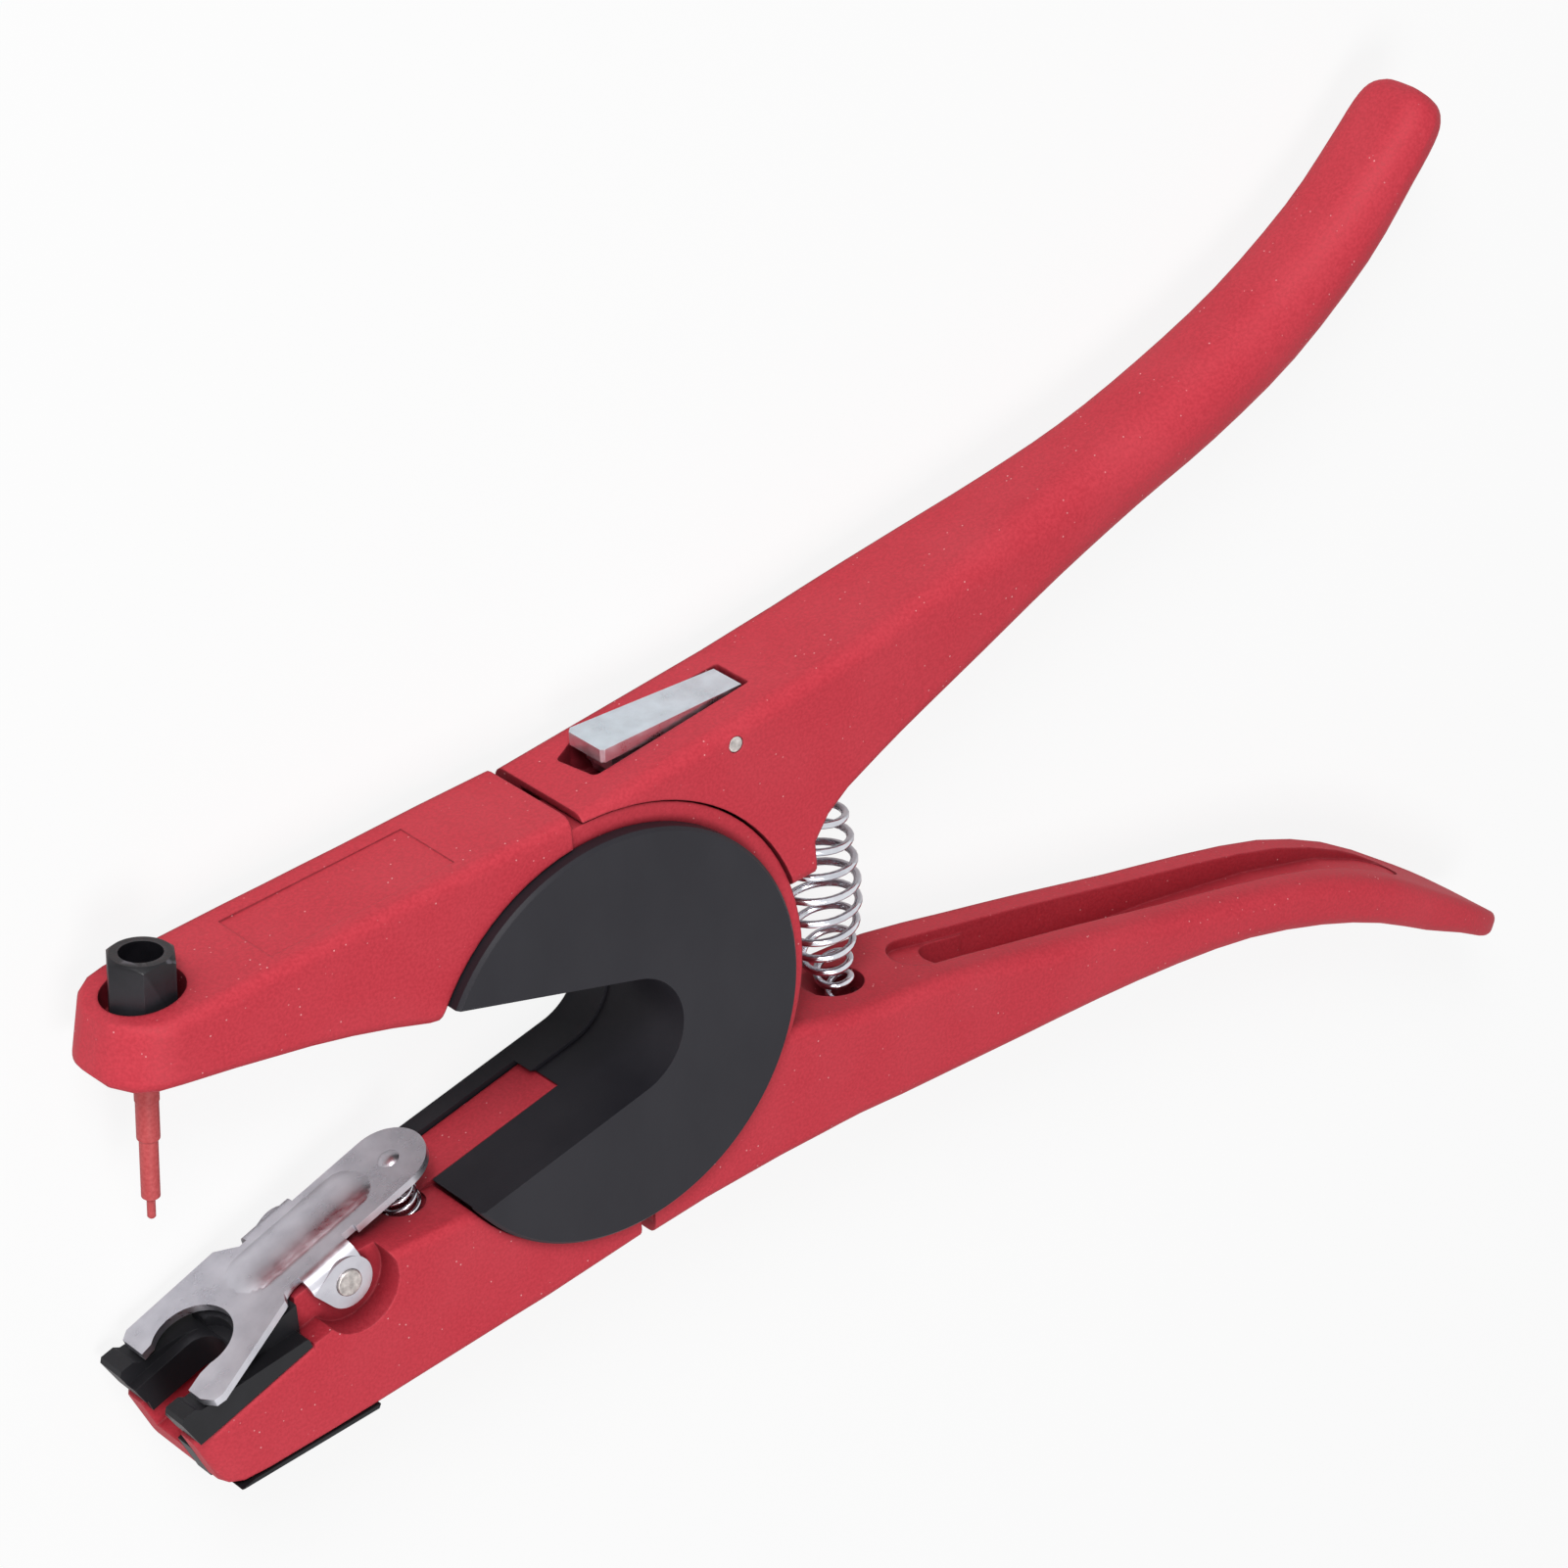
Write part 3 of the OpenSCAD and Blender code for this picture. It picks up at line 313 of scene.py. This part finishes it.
cells = tree.nodes.new("ShaderNodeTexVoronoi")
cells.inputs["Scale"].default_value = 1 / (SPECK_CELL_MM * MM)
place = tree.nodes.new("ShaderNodeTexCoord")
tree.links.new(place.outputs["Object"], cells.inputs["Vector"])
dot = ramp(tree, cells.outputs["Distance"], 0.06, 0.11, 1.0, 0.0)
group = ramp(tree, grain(tree, SPECK_GROUP_MM, detail=3), 0.50, 0.60)
shown = combine(tree, "MULTIPLY", combine(tree, "MULTIPLY", dot, group), SPECK_STRENGTH)
tree.links.new(tint(tree, shown, colour, SPECK), shader.inputs["Base Color"])
tree.links.new(ramp(tree, pebbles, 0.3, 0.7, 0.54, 0.72), shader.inputs["Roughness"])
bump(tree, shader, pebbles, depth_mm=0.04, before=soft_edge.outputs[0])
print("finished", red_coat.name, "with", len(tree.nodes), "shader nodes")

# %% [markdown]
# The hub covers are smooth satin mouldings, nearly black with a touch of blue. Handling leaves broad soft
# smears that show as a slight change of gloss. The jaw's insert and sole are a little deeper black.

# %% Black mouldings
SMEAR = srgb(52, 51, 56)
SMEAR_MM = 9


def satin_black(name, colour, rough):
    finish, tree, shader = new_finish(name, colour, rough, level=0.22)
    smear = grain(tree, SMEAR_MM, detail=3, stretch=(1, 0.5, 1))
    tree.links.new(tint(tree, ramp(tree, smear, 0.35, 0.7, 0.0, 0.3), colour, SMEAR),
                   shader.inputs["Base Color"])
    tree.links.new(ramp(tree, smear, 0.3, 0.7, rough - 0.01, rough + 0.04), shader.inputs["Roughness"])
    bump(tree, shader, grain(tree, size_mm=0.35), depth_mm=0.012)
    return finish


black_cover = satin_black("black_cover_moulding", srgb(35, 34, 40), rough=0.44)
black_insert = satin_black("black_insert_moulding", srgb(26, 26, 29), rough=0.4)
print("made", black_cover.name, "and", black_insert.name)

# %% [markdown]
# The nut is blackened steel: dark, with a low sheen, patches where the blacking took unevenly, and paler
# corners where it has rubbed off. The mesh tells a corner by how pointed it is.

# %% Blackened nut
RUBBED = srgb(112, 110, 118)

black_nut, tree, shader = new_finish("blackened_steel", srgb(28, 27, 31), rough=0.34, level=0.3)
patch = ramp(tree, grain(tree, size_mm=2.2, detail=3), 0.35, 0.7)
colour = tint(tree, combine(tree, "MULTIPLY", patch, 0.5), srgb(20, 19, 23), srgb(31, 30, 35))
corner = ramp(tree, tree.nodes.new("ShaderNodeNewGeometry").outputs["Pointiness"], 0.53, 0.62)
colour = tint(tree, combine(tree, "MULTIPLY", corner, 0.5), colour, RUBBED)
tree.links.new(colour, shader.inputs["Base Color"])
tree.links.new(ramp(tree, patch, 0, 1, 0.3, 0.42), shader.inputs["Roughness"])
bump(tree, shader, grain(tree, size_mm=0.3), depth_mm=0.015)
print("made", black_nut.name)

# %% [markdown]
# The applicator pin is coated in the same red as the levers, but thinner and over steel, so it looks a
# little browner and smoother than they do.

# %% Coated pin
red_pin, tree, shader = new_finish("red_pin_coat", srgb(190, 74, 76), rough=0.5, level=0.4)
skin = grain(tree, size_mm=0.5)
tree.links.new(tint(tree, ramp(tree, skin, 0.3, 0.7), srgb(180, 66, 68), srgb(198, 84, 86)),
               shader.inputs["Base Color"])
bump(tree, shader, skin, depth_mm=0.02)
print("made", red_pin.name)

# %% [markdown]
# The clip is stamped from spring steel and tumbled, so its grey is soft and cloudy, with fine scratches
# along its length. The latch is a small bright casting with a grainy satin top. Pin ends are sheared:
# rough, pale and pitted. All of them are one recipe: clouds of two greys, and scratches that change the
# gloss and stand a few thousandths of a millimetre deep.

# %% Bare metals
def bare_metal(name, light, dark, rough, cloud_mm, scratch_mm, depth_mm, stretch=(1, 1, 1)):
    """Metal in clouds of two greys, with scratches of this width and depth drawn out by stretch."""
    finish, tree, shader = new_finish(name, light, rough, metal=1.0)
    cloud = grain(tree, cloud_mm, detail=4)
    scratch = grain(tree, scratch_mm, detail=3, stretch=stretch)
    tree.links.new(tint(tree, ramp(tree, cloud, 0.3, 0.7), dark, light), shader.inputs["Base Color"])
    wear = combine(tree, "ADD", ramp(tree, cloud, 0.3, 0.7, -0.06, 0.06),
                   ramp(tree, scratch, 0.3, 0.7, -0.05, 0.05))
    tree.links.new(combine(tree, "ADD", wear, rough), shader.inputs["Roughness"])
    bump(tree, shader, scratch, depth_mm)
    return finish


ALONG_CLIP = (0.18, 1, 1)

clip_steel = bare_metal("tumbled_spring_steel", srgb(215, 214, 221), srgb(188, 187, 195),
                        rough=0.33, cloud_mm=5, scratch_mm=0.5, depth_mm=0.005, stretch=ALONG_CLIP)
latch_metal = bare_metal("satin_bright_casting", srgb(222, 236, 243), srgb(203, 216, 223),
                         rough=0.34, cloud_mm=3, scratch_mm=0.22, depth_mm=0.015)
pin_steel = bare_metal("sheared_pin_steel", srgb(214, 208, 204), srgb(160, 154, 152),
                       rough=0.42, cloud_mm=0.9, scratch_mm=0.35, depth_mm=0.05)
screw_steel = bare_metal("zinc_screw", srgb(186, 187, 192), srgb(150, 150, 156),
                         rough=0.35, cloud_mm=2, scratch_mm=0.4, depth_mm=0.015)
spring_wire = bare_metal("plated_wire", srgb(226, 228, 234), srgb(196, 198, 206),
                         rough=0.16, cloud_mm=4, scratch_mm=0.6, depth_mm=0.004)
print("made five bare metals")

# %% [markdown]
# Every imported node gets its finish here, so that it looks right even before a dressed copy replaces it.
# The record names a slot for each node, so one table from slot to finish serves nodes and copies alike.

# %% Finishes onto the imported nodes
finish_of_slot = {
    "red_coat": red_coat, "red_pin": red_pin, "black_cover": black_cover, "black_insert": black_insert,
    "black_nut": black_nut, "clip_steel": clip_steel, "latch_metal": latch_metal, "pin_steel": pin_steel,
    "screw_steel": screw_steel, "spring_wire": spring_wire}
slot_of_node = {s["node"]: s["material_slot"] for s in frame["record"]["subparts"]}
bodies = frame["record"]["behaviour"]["bodies"]
body_of_node = {node: body for body, members in bodies.items() for node in members}
for name, node in nodes.items():
    node.data.materials.clear()
    node.data.materials.append(finish_of_slot[slot_of_node[name]])
print("finishes on", len(nodes), "nodes")

# %% [markdown]
# The three levers are cast, ground at the parting line and tumbled. Their shapes are right as the CAD has
# them, so each is copied: its loose triangles are welded into one skin, its flat areas are dissolved
# into single faces, and it is shaded smooth across every soft corner, with large faces leading the normals.
# Their edges stay as they are, because the red finish already rounds the light there. A bevel in the mesh
# would fold over itself where the lofted sections run into the rings.

# %% Tools for one piece
def select_only(piece):
    bpy.ops.object.select_all(action="DESELECT")
    piece.select_set(True)
    bpy.context.view_layer.objects.active = piece


def edit_all(operation, **settings):
    """Runs one edit mode operation on the whole of the active piece."""
    bpy.ops.object.mode_set(mode="EDIT")
    bpy.ops.mesh.select_all(action="SELECT")
    operation(**settings)
    bpy.ops.object.mode_set(mode="OBJECT")


def apply_modifier(piece, kind, **settings):
    """Adds one modifier with these settings and applies it."""
    select_only(piece)
    modifier = piece.modifiers.new(kind.lower(), kind)
    for key, value in settings.items():
        setattr(modifier, key, value)
    bpy.ops.object.modifier_apply(modifier=modifier.name)


print("tools for one piece at a time ready")

# %% Dressing a node
WELD_MM = 0.002
FLAT_DEG = 0.3           # faces within this of each other count as one flat area
BEVEL_FROM_DEG = 38      # a corner sharper than this gets a bevel


def welded_copy(node):
    """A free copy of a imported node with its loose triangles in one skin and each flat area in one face."""
    piece = bpy.data.objects.new(node + "_dressed", nodes[node].data.copy())
    scene.collection.objects.link(piece)
    select_only(piece)
    if piece.data.has_custom_normals:
        bpy.ops.mesh.customdata_custom_splitnormals_clear()
    edit_all(bpy.ops.mesh.remove_doubles, threshold=WELD_MM * MM)
    edit_all(bpy.ops.mesh.dissolve_limited, angle_limit=math.radians(FLAT_DEG))
    return piece


def dress(node, smooth_deg, bevel_mm=0):
    """Replaces a node by a welded copy with this bevel, if any, and smooth over corners up to smooth_deg."""
    piece = welded_copy(node)
    if bevel_mm:
        apply_modifier(piece, "BEVEL", width=bevel_mm * MM, segments=2, limit_method="ANGLE",
                       angle_limit=math.radians(BEVEL_FROM_DEG), use_clamp_overlap=True)
    select_only(piece)
    bpy.ops.object.shade_smooth_by_angle(angle=math.radians(smooth_deg))
    apply_modifier(piece, "WEIGHTED_NORMAL", weight=60, keep_sharp=True)
    piece.data.materials.clear()
    piece.data.materials.append(finish_of_slot[slot_of_node[node]])
    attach(piece, body_of_node[node])
    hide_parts(node)
    print(piece.name, "has", len(piece.data.polygons), "faces")


print("a node is welded within", WELD_MM, "mm and flat within", FLAT_DEG, "degrees")

# %% Castings
SOFT_CORNER_DEG = 35

for node in ("fixed_lever", "upper_handle", "lower_jaw"):
    dress(node, SOFT_CORNER_DEG)

# %% [markdown]
# The covers, the insert and the small turned and stamped pieces have crisp edges that only catch a thin line
# of light. Their copies are made the same way, and then a narrow bevel runs along every real corner, held
# back where two bevels would meet. Its width is what each piece's making leaves: a moulding or a cast edge
# is rounder than a turned one or a screw's slot.

# %% Small crisp pieces
CRISP_CORNER_DEG = 50
BEVEL_MM = {
    "front_cover": 0.25, "back_cover": 0.25, "jaw_insert": 0.3, "sole_plate": 0.2, "pin_nut": 0.22,
    "applicator_pin": 0.12, "latch_lever": 0.4, "latch_pin": 0.15, "clip_pin": 0.25, "insert_screw": 0.1,
    "cover_screws": 0.1, "tag_clip": 0.18}

for node, bevel_mm in BEVEL_MM.items():
    dress(node, CRISP_CORNER_DEG, bevel_mm)

# %% [markdown]
# A coil spring is one length of round drawn wire. A path through the middle of the wire is computed turn by
# turn, and a bevel on that curve gives it its round section. Every spring here stands between two pieces
# that move.

# %% Tools for springs
STEPS = 32               # points in one turn of wire


def round_wire(name, path_mm, wire_mm):
    """A wire of this thickness along a path of points."""
    bpy.ops.object.select_all(action="DESELECT")
    bpy.ops.curve.primitive_nurbs_path_add(location=(0, 0, 0))
    coil = bpy.context.active_object
    coil.name = name
    coil.data.splines.clear()
    line = coil.data.splines.new("POLY")
    line.points.add(len(path_mm) - 1)
    for point, place in zip(line.points, path_mm):
        point.co = (*(place * MM), 1)
    coil.data.bevel_depth = wire_mm / 2 * MM
    coil.data.bevel_resolution = 3
    coil.data.use_fill_caps = True
    bpy.ops.object.convert(target="MESH")
    bpy.ops.object.shade_smooth()
    return bpy.context.active_object


def dress_spring(node, path_mm, wire_mm):
    """Replaces a spring by round wire along this path."""
    coil = round_wire(node + "_wire", path_mm, wire_mm)
    coil.data.materials.append(finish_of_slot[slot_of_node[node]])
    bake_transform(coil)
    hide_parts(node)
    print(coil.name, "has", len(coil.data.polygons), "faces")


print("spring tools ready, with", STEPS, "points a turn")

# %% [markdown]
# The main spring is wound as a barrel, so that its turns don't all lock at once, and it bows between the
# handles. Its middle line runs from foot to head and is drawn aside towards a third point, and its radius
# swells from each small end to the middle. It stands in a well of the lower handle, and the upper handle
# holds its head.

# %% Main spring
FOOT, BOW, HEAD = Vector((48.4, -19.6, 12)), Vector((40.2, 0.6, 12)), Vector((44.7, 24.4, 12))
TURNS, WIRE_MM = 12, 1.15
END_R, MIDDLE_R = 1.8, 6.6
FOOT_SWELL, HEAD_SWELL = 2.1, 0.8     # a larger power keeps the barrel narrow for longer
TOWARDS_FRONT = Vector((0, 0, 1))

path_mm = []
for i in range(TURNS * STEPS + 1):
    t = i / (TURNS * STEPS)
    middle = (1 - t) ** 2 * FOOT + 2 * t * (1 - t) * BOW + t ** 2 * HEAD
    along = ((1 - t) * (BOW - FOOT) + t * (HEAD - BOW)).normalized()
    across = Vector((along.y, -along.x, 0))
    swell = math.sin(math.pi * t) ** (FOOT_SWELL if t < 0.5 else HEAD_SWELL)
    radius = END_R + (MIDDLE_R - END_R) * swell
    angle = 2 * math.pi * i / STEPS
    path_mm.append(middle + radius * (math.cos(angle) * across + math.sin(angle) * TOWARDS_FRONT))
dress_spring("main_spring", path_mm, WIRE_MM)

# %% [markdown]
# The clip's spring and the latch's spring are small and straight. The first stands in the jaw under the
# clip's tail and leans as the jaw does, and the second stands in the pocket under the latch's thumb plate.

# %% Straight springs
SMALL_WIRE_MM = 0.6
CLIP_LEAN = Matrix.Rotation(math.radians(20), 3, "Z")
CLIP_HINGE = Vector((-45, -21.7, 12))
CLIP_FOOT = CLIP_HINGE + CLIP_LEAN @ Vector((14.2, -3.4, 0.6))
LATCH_FOOT = Vector((17.6, 31.5, 11.6))


def straight_path(foot, lift, side, radius, length, turns):
    """The middle of the wire of a coil that rises from foot along lift and starts on its side."""
    third = lift.cross(side)
    points = []
    for i in range(turns * STEPS + 1):
        angle = 2 * math.pi * i / STEPS
        rise = SMALL_WIRE_MM / 2 + (length - SMALL_WIRE_MM) * i / (turns * STEPS)
        points.append(foot + rise * lift + radius * (math.cos(angle) * side + math.sin(angle) * third))
    return points


for node, lower_body, upper_body, foot, lean, radius, length, turns in (
        ("clip_spring", "jaw", "clip", CLIP_FOOT, CLIP_LEAN, 2.6, 6.8, 4),
        ("latch_spring", "handle", "latch", LATCH_FOOT, Matrix.Identity(3), 1.6, 3.2, 3)):
    lift, side = lean @ Vector((0, 1, 0)), lean @ Vector((1, 0, 0))
    path_mm = straight_path(foot, lift, side, radius, length, turns)
    dress_spring(node, path_mm, SMALL_WIRE_MM)

# %% [markdown]
# The spring that opens the lower jaw lies inside the hub, wound round an arc with the hub's own centre. One
# end rests on the throat's lining and the other on a lug of the jaw's ring, which comes towards it.

# %% Return spring in the hub
RETURN_WIRE_MM = 0.8
ARC_R, COIL_R, ARC_Z = 22, 2.6, 15.7
ARC_FROM, ARC_TO, ARC_TURNS = math.radians(-123.5), math.radians(-69.5), 9


def on_arc(along, r=ARC_R, z=ARC_Z):
    return Vector((r * math.cos(along), r * math.sin(along), z))


path_mm = []
for i in range(ARC_TURNS * STEPS + 1):
    angle = 2 * math.pi * i / STEPS
    along = ARC_FROM + (ARC_TO - ARC_FROM) * i / (ARC_TURNS * STEPS)
    path_mm.append(on_arc(along, ARC_R + COIL_R * math.cos(angle), ARC_Z + COIL_R * math.sin(angle)))
dress_spring("return_spring", path_mm, RETURN_WIRE_MM)
